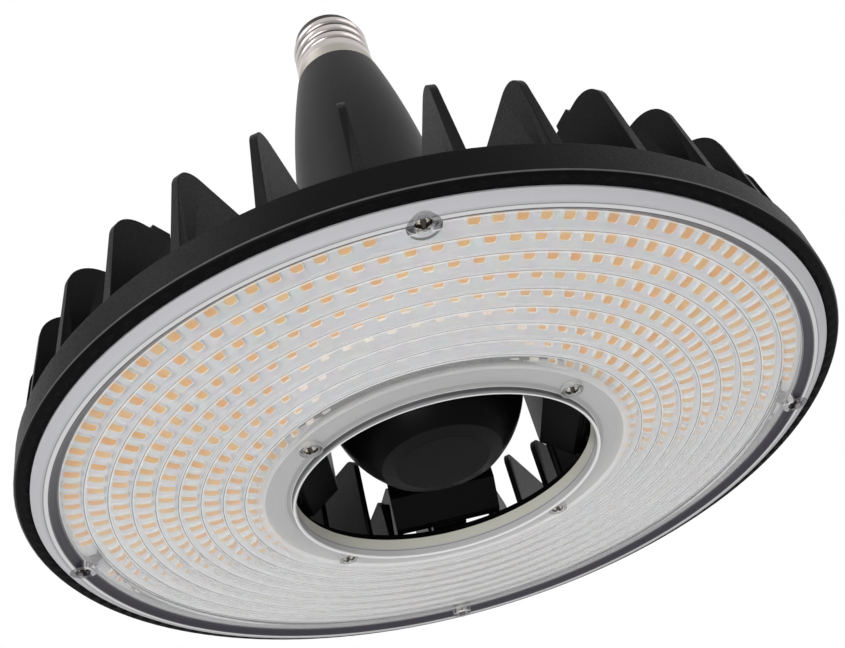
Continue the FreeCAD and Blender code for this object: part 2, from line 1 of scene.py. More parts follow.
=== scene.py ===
import math
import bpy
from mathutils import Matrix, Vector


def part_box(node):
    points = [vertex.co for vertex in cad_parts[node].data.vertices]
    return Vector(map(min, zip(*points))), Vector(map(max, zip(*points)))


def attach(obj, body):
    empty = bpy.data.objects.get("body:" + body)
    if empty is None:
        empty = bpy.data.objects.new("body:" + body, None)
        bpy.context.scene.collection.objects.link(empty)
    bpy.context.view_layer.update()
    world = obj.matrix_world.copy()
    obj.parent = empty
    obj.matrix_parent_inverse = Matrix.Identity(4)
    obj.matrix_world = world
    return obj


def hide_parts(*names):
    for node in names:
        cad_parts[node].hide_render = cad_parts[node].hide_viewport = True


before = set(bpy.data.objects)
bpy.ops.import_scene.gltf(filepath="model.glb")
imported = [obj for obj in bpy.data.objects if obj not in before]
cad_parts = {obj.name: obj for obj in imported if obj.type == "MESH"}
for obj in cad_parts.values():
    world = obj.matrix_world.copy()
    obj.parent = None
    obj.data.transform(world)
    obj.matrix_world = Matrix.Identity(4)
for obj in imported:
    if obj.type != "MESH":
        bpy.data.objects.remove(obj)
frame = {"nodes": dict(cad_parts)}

from types import SimpleNamespace

import bmesh
import bpy
from bpy.props import FloatProperty, FloatVectorProperty, PointerProperty
from mathutils import Matrix, Vector

bl_info = {
    "name": "High Bay Lamp",
    "version": (1, 0, 0),
    "blender": (4, 5, 0),
    "location": "View3D > Sidebar > High Bay Lamp",
    "description": "Dresses the high bay lamp's parts and sets up its stage",
    "category": "Object",
}

BODY = "root"
LED_RINGS = sorted((name for name in frame["nodes"] if name.startswith("led_ring_")),
                   key=lambda name: int(name.rsplit("_", 1)[1]))
WELD = 1e-6               # vertices nearer to each other than this are one
FINS = 36                 # fins round the cast ring
RIDGE_STEPS = 12          # steps across a ridge of the lens
LENS_SEGMENTS = 360       # steps round the lens
PLUG_SEGMENTS = 40        # steps round a boss or a screw hole of the lens
SCREW_SEGMENTS = 48       # steps round a screw
CROWN_STEPS = 14          # steps from the middle of a screw's head to its edge

# Finned ring, housing and screw cap
SCREW_REACH = 0.0025      # how far the arm screws reach into the ring's floor
FIN_INNER = 0.079         # distance of a plain fin's inner edge from the lamp's axis
PROBE_OUT = 0.12          # a fin's thickness is read beyond this distance from the axis,
PROBE_UP = 0.02           # this far above the ring's floor
PROBE_ASIDE = 0.004       # and this near the fin's middle plane
FIN_SHARE = 1.02          # points within this share of a fin's half thickness belong to the fin
HIGHLIGHT_INSET = 0.0003       # the painted highlight line's distance in from the rim's side and up from its face
HIGHLIGHT_TOP = 0.0008         # where the painted highlight line ends above the rim's face
ARMS_SHADE_FADE = (0.075, 0.1)  # heights between which the painted shade on the arms fades out
COVER_BAND = (0.0174, 0.0223)    # inner and outer radius of the bottom cover's band, painted lighter as a highlight
SKIRT_FADE = (0.0085, 0.0105)    # heights between which the cap's matt skirt fades out
ROOT_SHADE_FADE = (0.0180, 0.0188)     # radii between which the painted shade in the thread's roots fades out

# Lens: widths, and heights above its front face
BORE_BEVEL = 0.0005       # bevel round the front of the centre opening
LIP_SLOPE = 0.0002        # how far the lip's outer side leans out
RIM_BEVEL = 0.0027        # width of the bevelled outer edge
RIM_HEIGHT = 0.0017       # height of the bevelled outer edge
BACK_STEP = 0.0006        # width over which the back steps up to the flanges
TUBE_WALL = 0.0013        # wall of the tube that lines the centre opening
LINING = 0.0015           # depth into that wall that has the tube's looks
TUBE_START = 0.0036       # height at which the tube's colour starts
SEAM = (0.0028, 0.0031)   # heights of the fine line inside the centre opening
LINE = 0.0003             # width of a fine line
PALE_BAND = 0.0015        # width of the pale band on the outer flange's inner edge
STEP_WIDTH = 0.0023       # width of the step inside the outer flange
STEP_FADE = (0.0021, 0.0024)     # heights between which the steps' colour fades out
FRONT_TOP = 0.0026        # height up to which the front of the ridges lies
RIDGED_START = 0.0004     # distance of the ridges' colour from the innermost groove
GROOVE_FADE = (0.0005, 0.0007)   # distances from a groove between which its milky strip fades out
CREASE_SHADE_FADE = (0.00012, 0.00022)  # distances from a groove between which its painted shade line fades out
FROST_FADE = (0.0008, 0.0050)    # distances from the innermost groove over which the frosting fades out
LIP_HIGHLIGHT_FADE = (0.0010, 0.0011)      # distances from the opening between which the painted highlight on the lip fades out
LIP_HIGHLIGHT_FACE = (0.0002, 0.0003)      # heights between which the painted highlight on the lip fades out
HALFWAY = (0.1, 0.101)    # radii between which a step's colour turns from the lip's to the flange's
THIN = 0.0001             # softness of a fine mask's edge

# Lens: how milky its zones are, from 0 to 1
FLANGE_FROST = 0.93       # both flanges
INNER_THINNER = 0.35      # how much thinner the inner flange's frosting is
BOSS_CLEARER = 0.6        # how much clearer the bosses are than the flanges round them
GROOVE_FROST = 0.55       # the strips along the grooves
STEP_FROST = 0.5          # the steps, where nothing else is milkier
HAZE = (0.06, 0.55)       # the whole face, seen from straight ahead and at a glancing angle
HAZE_FACING = (0.45, 0.72)       # the range of the facing value over which that haze grows

# Bosses of the lens: screws, radius, depth of the boss's face, radius that looks clear
LENS_BOSSES = (("outer_lens_screws", 0.0044, 0.0, 0.0044), ("inner_lens_screws", 0.0038, 0.0008, 0.0037))
HEAD_GAP = 0.0004         # clearance round a lens screw's head
SEAT_DEPTH = 0.0022       # depth of the recess for a lens screw's head
SHANK_HOLE = 0.0021       # radius of the hole for a lens screw's shank
CUT_FROM, CUT_TO = 0.001, 0.006  # how far a screw hole's cut reaches in front of the face and behind it

# LED packages and screws
WINDOW_CORNER = 1.6       # bevel of a window's corners over that of its package's
WINDOW_DRAFT = 1.3        # width of the frame at the window's foot over that at its top
CROWN = 0.9               # share of a screw head's height that its crown takes
CROWN_ARC = 0.9           # how near the crown's section comes to a quarter circle
RECESS_FLARE = 0.25       # how much wider a recess is at its centre, as a share of its width
RECESS_RISE = 0.45        # how much shallower a recess is at its tips, as a share of its depth
NEAR_AXIS = 0.0005        # points nearer to a screw's axis than this aren't on its shank
HEAD_EDGE = 0.98          # points beyond this share of a head's radius are on its edge

# Camera: directions in the lamp's frame
CAMERA_RIGHT = (0.96307, 0.15610, -0.21935)
CAMERA_AHEAD = (0.0, 0.8147, 0.5798)


# Properties

def length(name, text, default, low=0.0, high=10.0):
    return FloatProperty(name=name, description=text, default=default, min=low, max=high,
                         subtype="DISTANCE", unit="LENGTH", precision=5)


def factor(name, text, default):
    return FloatProperty(name=name, description=text, default=default, min=0.0, max=1.0, subtype="FACTOR")


def power(name, text, default):
    return FloatProperty(name=name, description=text, default=default, min=0.0, unit="POWER")


def colour(name, text, default):
    return FloatVectorProperty(name=name, description=text, default=default, size=3, min=0.0, max=1.0,
                               subtype="COLOR")


class LampSizes(bpy.types.PropertyGroup):
    """Sizes of the small forms that the parts get here."""
    package_corner: length("Package corner", "Bevel on an LED package's corners", 0.0003)
    window_border: length("Window border", "Width of the frame round an LED's phosphor window", 0.00016)
    window_depth: length("Window depth", "How far an LED's window lies below its frame", 0.00012)
    ridge_crest: length("Ridge crest", "Height of the lens ridges' crests above the flanges' face", 0.0017)
    ridge_valley: length("Ridge valley", "Height of the grooves between the ridges above that face", 0.0024)
    ridge_back: length("Ridge back", "Height of the back of the ridges", 0.0046)
    flange_out: length("Outer flange", "Width of the lens's outer flange", 0.0052)
    lip_width: length("Lip width", "Width of the lip round the centre opening", 0.0011)
    flange_back: length("Flange back", "Height of the back of both flanges", 0.0037)
    head_radius: length("Screw head", "Radius of a lens screw's pan head", 0.0023)
    package_widening: length("Package widening", "How much further a package reaches outwards", 0.0004)
    recess_length: length("Recess length", "Reach of a screw's cross recess from its centre", 0.0022)
    recess_width: length("Recess width", "Width of a screw's cross recess", 0.0011)
    recess_depth: length("Recess depth", "Depth of a screw's cross recess", 0.0011)
    fin_tip: length("Fin tip", "Thickness of a fin at its outer edge's top", 0.0018)
    fin_root: length("Fin root", "Thickness of a fin at its outer edge's foot", 0.0031)
    fin_taper: length("Fin taper", "How much a fin's foot thickens towards the ring's middle", 0.0016)
    edge_radius: length("Edge radius", "Softness of the castings' and mouldings' edges", 0.0005)


class LampFinishes(bpy.types.PropertyGroup):
    """Colours and gloss of the lamp's finishes."""
    casting: colour("Casting", "Powder coat of the finned ring", (0.0028, 0.0027, 0.0031))
    housing: colour("Housing", "Moulded driver housing", (0.0115, 0.0112, 0.012))
    # painted shade: the arms at the housing's foot darker than the rest of the moulding
    arms: colour("Arms", "Moulded arms, where the housing is dullest", (0.0012, 0.0012, 0.0014))
    cover: colour("Cover", "Moulded bottom cover", (0.0015, 0.0015, 0.0018))
    # a band round the cover's flat, painted lighter as a highlight
    cover_band_highlight: colour("Cover band", "Plain band round the cover's flat", (0.008, 0.008, 0.009))
    cap: colour("Cap", "Nickel plated screw cap", (0.55, 0.51, 0.495))
    # painted shade in the roots of the cap's thread
    cap_root_shade: colour("Cap roots", "Dulled metal in the roots of the cap's thread", (0.045, 0.038, 0.036))
    cap_skirt: colour("Cap skirt", "Matt skirt of the screw cap", (0.37, 0.345, 0.31))
    glass: colour("Insulator", "Black glass of the cap", (0.006, 0.006, 0.008))
    board: colour("Board", "Solder resist of the LED board", (0.84, 0.85, 0.88))
    package: colour("Package", "Frame of an LED package", (0.86, 0.85, 0.82))
    phosphor: colour("Phosphor", "Phosphor window of an LED", (0.95, 0.43, 0.065))
    phosphor_pale: colour("Pale phosphor", "Window of a paler LED", (0.97, 0.58, 0.18))
    lens: colour("Lens", "Tint of the clear lens", (0.97, 0.97, 0.98))
    frosting: colour("Frosting", "Frosted inner flange of the lens", (0.74, 0.74, 0.74))
    outer_frosting: colour("Outer frosting", "Frosted outer flange of the lens", (0.55, 0.55, 0.575))
    # painted shade: the dark of the steps and of the line on the outer flange's edge
    step: colour("Step", "Dark of the step between a flange and the ridges", (0.032, 0.028, 0.042))
    # painted shade: thin dark lines in the grooves between the ridges, also drawn along the outer flange and
    # inside the opening
    crease_shade: colour("Crease", "Thin dark lines between the ridges", (0.24, 0.24, 0.26))
    # painted shade on the outer side of the lip round the centre opening
    lip_side_shade: colour("Lip side", "Outer side of the lip round the centre opening", (0.055, 0.055, 0.06))
    # painted highlight on the edge of the centre opening; the same white colours the milky ridges
    lip: colour("Lip", "Bright edge of the centre opening", (0.93, 0.93, 0.93))
    tube: colour("Tube", "Tube that lines the centre opening", (0.76, 0.75, 0.66))
    # painted highlight on the edge between the rim's front face and its side
    edge_highlight: colour("Worn edge", "Casting's edge where the coat is thin", (0.11, 0.11, 0.115))
    steel: colour("Steel", "Zinc plated screws", (0.72, 0.67, 0.58))
    # painted shade in a screw's cross recess
    recess: colour("Recess", "Shadowed metal in a screw's recess", (0.1, 0.09, 0.08))
    rubber: colour("Rubber", "Silicone gaskets", (0.02, 0.02, 0.02))
    circuit: colour("Circuit board", "Solder resist of the driver's board", (0.02, 0.11, 0.04))
    tape: colour("Tape", "Tape round the transformer's core", (0.35, 0.28, 0.06))
    sleeve: colour("Sleeve", "Sleeves of the driver's capacitors", (0.02, 0.02, 0.03))
    copper: colour("Copper", "Winding of the mains choke", (0.6, 0.22, 0.08))
    casting_gloss: factor("Casting gloss", "Strength of the powder coat's reflections", 0.045)
    housing_gloss: factor("Housing gloss", "Strength of the housing's reflections", 0.07)
    cover_gloss: factor("Cover gloss", "Strength of the bottom cover's reflections", 0.06)
    casting_roughness: factor("Casting roughness", "Roughness of the powder coat", 0.42)
    housing_roughness: factor("Housing roughness", "Roughness of the moulded housing", 0.4)


class LampStage(bpy.types.PropertyGroup):
    """Floor, lamps and camera."""
    floor_drop: length("Floor drop", "How far below the lens the floor lies", 1.0)
    floor_size: length("Floor size", "Length and width of the floor", 60.0, high=100.0)
    floor_tone: colour("Floor", "Mean tone of the floor", (0.82, 0.82, 0.82))
    floor_dark: colour("Floor, darker", "Darker tone of the floor's clouds", (0.8, 0.8, 0.8))
    floor_light: colour("Floor, lighter", "Lighter tone of the floor's clouds", (0.84, 0.84, 0.84))
    sky: FloatProperty(name="Sky", description="Light that reaches the lamp from all round",
                       default=0.62, min=0.0)
    key: power("Key lamp", "Power of the key lamp", 9.0)
    fill: power("Fill lamp", "Power of the fill lamp", 5.0)
    under: power("Low lamp", "Power of the lamp below the lens", 9.0)
    camera_at: FloatVectorProperty(name="Camera", description="Place of the camera", size=3,
                                   default=(0.0022, -0.2760, -0.1424), subtype="TRANSLATION", unit="LENGTH")
    camera_focal: FloatProperty(name="Focal length", description="Focal length of the camera in millimetres",
                                default=37.07, min=1.0)
    camera_shift: FloatProperty(name="Shift", description="Vertical shift of the camera's frame",
                                default=0.0479)


# Finishes

class Finish:
    """A material with a Principled shader, and short ways to add nodes to it."""

    def __init__(self, name, base, roughness, metallic=0.0):
        self.material = bpy.data.materials.new(name)
        self.material.use_nodes = True
        self.tree = self.material.node_tree
        self.shader = self.tree.nodes["Principled BSDF"]
        self.output = self.tree.nodes["Material Output"]
        self.shader.inputs["Base Color"].default_value = (*base, 1.0)
        self.shader.inputs["Roughness"].default_value = roughness
        self.shader.inputs["Metallic"].default_value = metallic
        self.material.diffuse_color = (*base, 1.0)
        self.place = self.add("ShaderNodeTexCoord").outputs["Object"]

    def add(self, kind, **options):
        node = self.tree.nodes.new(kind)
        for key, value in options.items():
            setattr(node, key, value)
        return node

    def link(self, source, target):
        self.tree.links.new(source, target)

    def math(self, operation, a, b=None):
        """A Math node; a and b are sockets or plain numbers."""
        node = self.add("ShaderNodeMath", operation=operation)
        for socket, value in zip(node.inputs, (a, b)):
            if isinstance(value, (int, float)):
                socket.default_value = value
            elif value is not None:
                self.link(value, socket)
        return node.outputs[0]

    def all_of(self, first, *others):
        """A mask that is 1 where all its masks are."""
        for other in others:
            first = self.math("MULTIPLY", first, other)
        return first

    def any_of(self, first, *others):
        """A mask as strong as the strongest of its masks."""
        for other in others:
            first = self.math("MAXIMUM", first, other)
        return first

    def noise(self, scale, detail=3.0, roughness=0.5, stretch=None, output="Fac"):
        node = self.add("ShaderNodeTexNoise")
        node.inputs["Scale"].default_value = scale
        node.inputs["Detail"].default_value = detail
        node.inputs["Roughness"].default_value = roughness
        place = self.place
        if stretch:
            mapping = self.add("ShaderNodeMapping")
            mapping.inputs["Scale"].default_value = stretch
            self.link(self.place, mapping.inputs["Vector"])
            place = mapping.outputs["Vector"]
        self.link(place, node.inputs["Vector"])
        return node.outputs[output]

    def wave(self, scale, **options):
        """Even bands or rings, as a value from 0 to 1."""
        node = self.add("ShaderNodeTexWave", **options)
        node.inputs["Scale"].default_value = scale
        self.link(self.place, node.inputs["Vector"])
        return node.outputs["Fac"]

    def spread(self, value, low, high, start=0.3, end=0.7):
        """Map a value that runs from start to end to the range low to high."""
        node = self.add("ShaderNodeMapRange")
        self.link(value, node.inputs["Value"])
        for key, number in (("From Min", start), ("From Max", end), ("To Min", low), ("To Max", high)):
            node.inputs[key].default_value = number
        return node.outputs["Result"]

    def rise(self, value, start, end):
        """A mask that goes from 0 to 1 between two values."""
        return self.spread(value, 0.0, 1.0, start, end)

    def fall(self, value, start, end):
        """A mask that goes from 1 to 0 between two values."""
        return self.spread(value, 1.0, 0.0, start, end)

    def between(self, value, low, high, soft=0.0002):
        """A mask that is 1 where a value lies between two limits."""
        return self.all_of(self.rise(value, low - soft, low + soft),
                           self.fall(value, high - soft, high + soft))

    def blend(self, mask, first, second):
        """Mix two colours, each a colour or a socket, by a mask."""
        node = self.add("ShaderNodeMix", data_type="RGBA")
        if isinstance(mask, float):
            node.inputs[0].default_value = mask
        else:
            self.link(mask, node.inputs[0])
        for socket, value in ((node.inputs[6], first), (node.inputs[7], second)):
            if isinstance(value, bpy.types.NodeSocket):
                self.link(value, socket)
            else:
                socket.default_value = (*value, 1.0)
        return node.outputs[2]

    def colour(self, source):
        """Link the base colour to a socket."""
        self.link(source, self.shader.inputs["Base Color"])

    def paint(self, mask, over):
        """Lay a colour over the base colour where a mask is 1."""
        self.colour(self.blend(mask, self.shader.inputs["Base Color"].links[0].from_socket, over))

    def mix(self, mask, first, second):
        """Mix two shaders by a mask."""
        node = self.add("ShaderNodeMixShader")
        for socket, source in zip(node.inputs, (mask, first, second)):
            self.link(source, socket)
        return node.outputs[0]

    def bump(self, height, distance, strength=1.0, edge=None):
        """Bump from a height; edge also rounds sharp edges by a radius."""
        node = self.add("ShaderNodeBump")
        node.inputs["Strength"].default_value = strength
        node.inputs["Distance"].default_value = distance
        self.link(height, node.inputs["Height"])
        if edge:
            soft = self.add("ShaderNodeBevel", samples=6)
            soft.inputs["Radius"].default_value = edge
            self.link(soft.outputs["Normal"], node.inputs["Normal"])
        self.link(node.outputs["Normal"], self.shader.inputs["Normal"])
        return node.outputs["Normal"]

    def reach(self, x, y):
        """Length of a flat vector."""
        return self.math("SQRT", self.math("ADD", self.math("MULTIPLY", x, x), self.math("MULTIPLY", y, y)))

    def polar(self):
        """Distance from the lamp's axis, azimuth in radians, and height."""
        split = self.add("ShaderNodeSeparateXYZ")
        self.link(self.place, split.inputs[0])
        x, y, z = split.outputs
        return self.reach(x, y), self.math("ARCTAN2", y, x), z


def shaded(base, by):
    """A colour made darker or lighter by a factor."""
    return tuple(part * by for part in base)


def coated(name, base, roughness, grain, depth, edge=None, gloss=None, shade=0.12):
    """A dull coat or moulding: fine grain, slight cloudiness and softened edges."""
    made = Finish(name, base, roughness)
    if gloss is not None:
        made.shader.inputs["Specular IOR Level"].default_value = gloss
    cloud = made.rise(made.noise(9.0, 2.0), 0.2, 0.8)
    made.colour(made.blend(cloud, shaded(base, 1 - shade), shaded(base, 1 + shade)))
    fine = made.noise(grain, 2.0)
    made.link(made.spread(fine, roughness - 0.06, roughness + 0.08), made.shader.inputs["Roughness"])
    made.bump(fine, depth, 1.0, edge)
    return made


def bare_metal(name, base, roughness):
    """Bare metal: drawn lines, and smudges in its colour and gloss."""
    made = Finish(name, base, roughness, 1.0)
    smudge = made.noise(60.0, 5.0, 0.6)
    made.colour(made.blend(made.spread(smudge, 0.0, 1.0), shaded(base, 0.86), base))
    made.link(made.spread(smudge, roughness - 0.06, roughness + 0.12), made.shader.inputs["Roughness"])
    made.bump(made.noise(40.0, 3.0, 0.5, (1.0, 1.0, 60.0)), 0.00002, 0.5)
    return made


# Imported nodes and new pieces

def dress(nodes, made):
    """Give carried-over nodes a finish."""
    for name in nodes:
        obj = frame["nodes"][name]
        obj.data.materials.clear()
        obj.data.materials.append(made.material)


def solids_of(node):
    """The points of each separate solid of a node, one list for each."""
    mesh = bmesh.new()
    mesh.from_mesh(frame["nodes"][node].data)
    bmesh.ops.remove_doubles(mesh, verts=mesh.verts, dist=WELD)
    left, found = set(mesh.verts), []
    for first in mesh.verts:
        if first not in left:
            continue
        left.discard(first)
        stack, group = [first], []
        while stack:
            vert = stack.pop()
            group.append(vert.co.copy())
            for edge in vert.link_edges:
                other = edge.other_vert(vert)
                if other in left:
                    left.discard(other)
                    stack.append(other)
        found.append(group)
    mesh.free()
    return found


def centre_of(group):
    return sum(group, Vector()) / len(group)


def piece(name, mesh, finishes, replaced, smooth=None):
    """A new object from a bmesh, riding on the lamp, that stands for some nodes; smooth is in degrees."""
    data = bpy.data.meshes.new(name)
    bmesh.ops.recalc_face_normals(mesh, faces=mesh.faces)
    mesh.to_mesh(data)
    mesh.free()
    obj = bpy.data.objects.new(name, data)
    bpy.context.scene.collection.objects.link(obj)
    for made in finishes:
        data.materials.append(made.material)
    if smooth is not None:
        data.set_sharp_from_angle(angle=math.radians(smooth))
    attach(obj, BODY)
    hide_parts(*replaced)
    return obj


def circle_of(mesh, at, radius, height, count):
    """Vertices evenly round an upright line through a point."""
    turns = [2 * math.pi * k / count for k in range(count)]
    return [mesh.verts.new((at.x + radius * math.cos(turn), at.y + radius * math.sin(turn), height))
            for turn in turns]


def bridge(mesh, loops):
    """Faces between each loop of vertices and the next."""
    count = len(loops[0])
    return [mesh.faces.new((lower[k], lower[(k + 1) % count], upper[(k + 1) % count], upper[k]))
            for lower, upper in zip(loops, loops[1:]) for k in range(count)]


def settings():
    return bpy.context.scene.lamp_sizes, bpy.context.scene.lamp_finishes


# Castings and mouldings

def draft_fins(mesh, sizes, floor, high):
    """Thin the fins towards their tips, as their mould does."""
    half = max(abs(v.co.y) for v in mesh.verts
               if v.co.z > floor + PROBE_UP and v.co.x > PROBE_OUT and abs(v.co.y) < PROBE_ASIDE)
    for vert in mesh.verts:
        place = vert.co
        if place.z < floor:
            continue
        azimuth = round(math.atan2(place.y, place.x) * FINS / (2 * math.pi)) * 2 * math.pi / FINS
        turned = Matrix.Rotation(azimuth, 3, "Z")
        local = turned.transposed() @ place
        if abs(local.y) > half * FIN_SHARE:
            continue
        rise = (place.z - floor) / (high.z - floor)
        inward = max(0.0, (high.x - local.x) / (high.x - FIN_INNER))
        thick = sizes.fin_root + (sizes.fin_tip - sizes.fin_root) * rise
        thick += sizes.fin_taper * inward * (1 - rise)
        local.y *= thick / 2 / half
        vert.co = turned @ local


def build_ring():
    """The finned ring with the draft that its mould gives the fins."""
    sizes, looks = settings()
    mesh = bmesh.new()
    mesh.from_mesh(frame["nodes"]["heat_sink"].data)
    bmesh.ops.remove_doubles(mesh, verts=mesh.verts, dist=WELD)
    low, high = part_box("heat_sink")
    draft_fins(mesh, sizes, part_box("arm_screws")[0].z + SCREW_REACH, high)
    made = coated("black_powder_coat", looks.casting, looks.casting_roughness, grain=1600.0, depth=0.00006,
                  edge=sizes.edge_radius, gloss=looks.casting_gloss)
    # painted highlight: a light line on the edge between the rim's front face and its side
    distance, _, height = made.polar()
    made.paint(made.all_of(made.rise(distance, high.x - HIGHLIGHT_INSET - THIN, high.x - HIGHLIGHT_INSET + THIN),
                           made.between(height, low.z + HIGHLIGHT_INSET, low.z + HIGHLIGHT_TOP, THIN)), looks.edge_highlight)
    ring = piece("finned_ring", mesh, [made], ["heat_sink"], smooth=25)
    # large faces shade evenly up to the rounded edges
    even = ring.modifiers.new("even_shading", "WEIGHTED_NORMAL")
    even.keep_sharp, even.weight = True, 80


def finish_housing():
    """Dull mouldings for the housing and its cover, and silicone gaskets."""
    sizes, looks = settings()
    made = coated("black_moulding", looks.housing, looks.housing_roughness, grain=3200.0, depth=0.00003,
                  edge=sizes.edge_radius, gloss=looks.housing_gloss)
    # painted shade: the housing darker below these heights, on its arms
    made.paint(made.fall(made.polar()[2], *ARMS_SHADE_FADE), looks.arms)
    dress(["driver_housing"], made)
    cover = coated("black_cover", looks.cover, 0.3, grain=3200.0, depth=0.00002, gloss=looks.cover_gloss)
    # painted highlight: the band round the cover's flat lighter
    cover.paint(cover.between(cover.polar()[0], *COVER_BAND), looks.cover_band_highlight)
    dress(["bottom_cover"], cover)
    dress(["outer_gasket", "inner_gasket"],
          coated("black_silicone", looks.rubber, 0.6, grain=2500.0, depth=0.00002))


# Lens

def ring_radius(node):
    """Mean distance of a node's solids from the lamp's axis."""
    groups = solids_of(node)
    return sum(centre_of(group).xy.length for group in groups) / len(groups)


def led_rows():
    """Radii of the innermost and the outermost ring of LEDs, and the distance from ring to ring."""
    radii = ring_radius(LED_RINGS[0]), ring_radius(LED_RINGS[-1])
    return min(radii), max(radii), (max(radii) - min(radii)) / (len(LED_RINGS) - 1)


def lens_profile(sizes, bore, low, high):
    """The lens's section as (radius, height): ridges over the LED rings, a flange and a step on each side."""
    inner, outer, pitch = led_rows()
    start, end = inner - pitch / 2, outer + pitch / 2
    sag = sizes.ridge_valley - sizes.ridge_crest
    curve = pitch * pitch / (8 * sag) + sag / 2
    face, valley = low.z, low.z + sizes.ridge_valley
    flange, back = low.z + sizes.flange_back, low.z + sizes.ridge_back
    points = [(bore, face + BORE_BEVEL), (bore + BORE_BEVEL, face), (bore + sizes.lip_width, face),
              (bore + sizes.lip_width + LIP_SLOPE, valley)]
    for k in range(len(LED_RINGS)):
        middle = inner + pitch * k
        for step in range(RIDGE_STEPS):
            across = pitch * (step / RIDGE_STEPS - 0.5)
            rise = math.sqrt(curve * curve - across * across) - (curve - sag)
            points.append((middle + across, valley - rise))
    return points + [(end, valley), (high.x - sizes.flange_out, face), (high.x - RIM_BEVEL, face),
                     (high.x, face + RIM_HEIGHT), (high.x, flange), (end, flange), (end - BACK_STEP, back),
                     (start + BACK_STEP, back), (start, flange), (bore + TUBE_WALL, flange),
                     (bore + TUBE_WALL, high.z), (bore, high.z)]


def turned_mesh(points, count):
    """A closed section turned about the lamp's axis."""
    mesh = bmesh.new()
    loops = []
    for k in range(count):
        turn = 2 * math.pi * k / count
        loops.append([mesh.verts.new((r * math.cos(turn), r * math.sin(turn), z)) for r, z in points])
    for k in range(count):
        here, after = loops[k], loops[(k + 1) % count]
        for i in range(len(points)):
            j = (i + 1) % len(points)
            mesh.faces.new((here[i], after[i], after[j], here[j]))
    return mesh


def add_plug(mesh, at, sections):
    """A stepped upright plug; sections are (radius, height) from one end to the other."""
    loops = [circle_of(mesh, at, radius, height, PLUG_SEGMENTS) for radius, height in sections]
    bridge(mesh, loops)
    mesh.faces.new(list(reversed(loops[0])))
    mesh.faces.new(loops[-1])


def joined(mesh, tool, operation):
    """The mesh with a tool added to it or cut from it."""
    objects = []
    for each in (mesh, tool):
        bmesh.ops.recalc_face_normals(each, faces=each.faces)
        data = bpy.data.meshes.new("making")
        each.to_mesh(data)
        each.free()
        objects.append(bpy.data.objects.new("making", data))
        bpy.context.scene.collection.objects.link(objects[-1])
    change = objects[0].modifiers.new("change", "BOOLEAN")
    change.operation, change.solver, change.object = operation, "EXACT", objects[1]
    evaluated = objects[0].evaluated_get(bpy.context.evaluated_depsgraph_get())
    result = bmesh.new()
    result.from_mesh(evaluated.to_mesh())
    evaluated.to_mesh_clear()
    for obj in objects:
        data = obj.data
        bpy.data.objects.remove(obj)
        bpy.data.meshes.remove(data)
    return result


def by_screws(made, distance, azimuth, node, radius):
    """A mask that is 1 within a radius of a circle's screws."""
    groups = solids_of(node)
    first = centre_of(groups[0])
    step = 2 * math.pi / len(groups)
    start = math.atan2(first.y, first.x) % step
    turn = made.math("MODULO", made.math("ADD", azimuth, 2 * math.pi + step / 2 - start), step)
    folded = made.math("SUBTRACT", turn, step / 2)
    x = made.math("SUBTRACT", made.math("MULTIPLY", distance, made.math("COSINE", folded)), first.xy.length)
    y = made.math("MULTIPLY", distance, made.math("SINE", folded))
    return made.fall(made.reach(x, y), radius - THIN, radius + THIN)


def lens_masks(made, sizes, low, high, bore):
    """Masks for the zones of the lens."""
    distance, azimuth, height = made.polar()
    ring, _, pitch = led_rows()
    start, flange, lip = ring - pitch / 2, high.x - sizes.flange_out, bore + sizes.lip_width
    face = low.z
    along = made.math("MODULO", made.math("SUBTRACT", distance, start - pitch / 2), pitch)
    off = made.math("ABSOLUTE", made.math("SUBTRACT", along, pitch / 2))
    ridged = made.all_of(made.fall(height, face + FRONT_TOP, face + FRONT_TOP + THIN),
                         made.between(distance, start + RIDGED_START, flange, THIN))
    lining = made.fall(distance, bore + LINING, bore + LINING + THIN)
    steps = made.any_of(made.between(distance, flange - STEP_WIDTH, flange, THIN),
                        made.between(distance, lip, lip + LINE, THIN))
    return SimpleNamespace(
        outer=made.rise(distance, flange - THIN, flange + THIN),
        inner=made.fall(distance, *(start + reach for reach in FROST_FADE)),
        ridged=ridged,
        groove=made.all_of(ridged, made.fall(off, *GROOVE_FADE)),
        # painted shade along the grooves
        crease_shade=made.all_of(ridged, made.fall(off, *CREASE_SHADE_FADE)),
        steps=made.all_of(steps, made.fall(height, *(face + rise for rise in STEP_FADE))),
        beyond=made.rise(distance, *HALFWAY),
        bosses=made.any_of(*(by_screws(made, distance, azimuth, screws, clear)
                             for screws, _, _, clear in LENS_BOSSES)),
        lining=lining,
        tube=made.all_of(lining, made.rise(height, face + TUBE_START, face + TUBE_START + 2 * THIN)),
        seam=made.all_of(lining, made.between(height, *(face + rise for rise in SEAM), THIN)),
        # painted highlight on the lip round the opening
        lip=made.all_of(made.fall(distance, *(bore + reach for reach in LIP_HIGHLIGHT_FADE)),
                        made.fall(height, *(face + rise for rise in LIP_HIGHLIGHT_FACE))),
        pale=made.between(distance, flange, flange + PALE_BAND),
        flange_line=made.between(distance, flange + PALE_BAND, flange + PALE_BAND + LINE, THIN),
        edge_line=made.between(distance, flange - THIN, flange + LINE, THIN),
        hatch=made.math("SINE", made.math("MULTIPLY", azimuth, 2200.0)))


